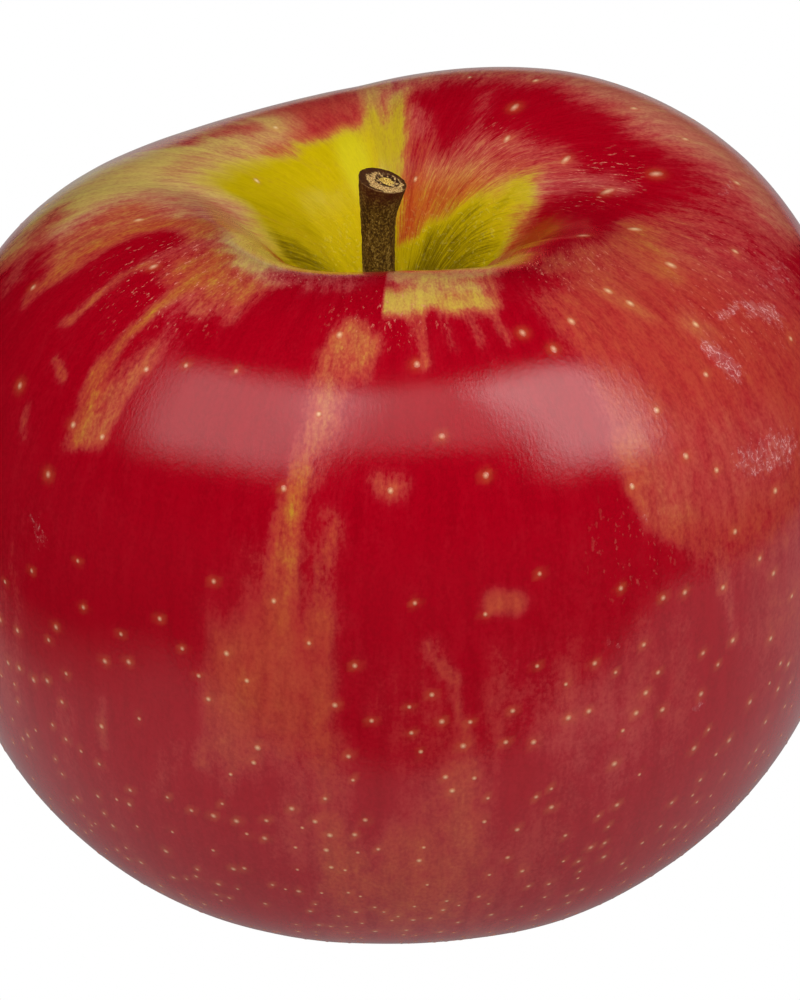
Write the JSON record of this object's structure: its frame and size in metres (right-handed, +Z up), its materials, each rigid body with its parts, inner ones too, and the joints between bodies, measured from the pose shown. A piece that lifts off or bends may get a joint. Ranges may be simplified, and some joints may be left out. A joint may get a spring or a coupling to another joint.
{
  "type": "red apple",
  "caption": "Whole red apple with a cut woody stem in its hollow and dried flower remains underneath; stands on its low base lobes.",
  "frame": {"origin": "on the surface the apple stands on, under the middle of its bounding box", "axes": "+Z up along the core, from the calyx to the stem; +X to the right and +Y to the back, seen from the side whose shoulder is highest"},
  "size_m": [0.0858, 0.0842, 0.0721],
  "materials": {
    "skin": "waxy satin-gloss fruit skin, crimson with orange and yellow streaks, pale dots, and a yellow-olive stem hollow",
    "bark": "rough brown bark with grey fuzz and a pale cut end",
    "dry_sepal": "dry, wrinkled, matte",
    "withered_stamens": "dry, fibrous, matte"
  },
  "bodies": {
    "root": {"fruit": "skin", "stem": "bark", "sepal_1": "dry_sepal", "sepal_2": "dry_sepal", "sepal_3": "dry_sepal", "sepal_4": "dry_sepal", "sepal_5": "dry_sepal", "stamen_tuft": "withered_stamens"}
  },
  "joints": []
}
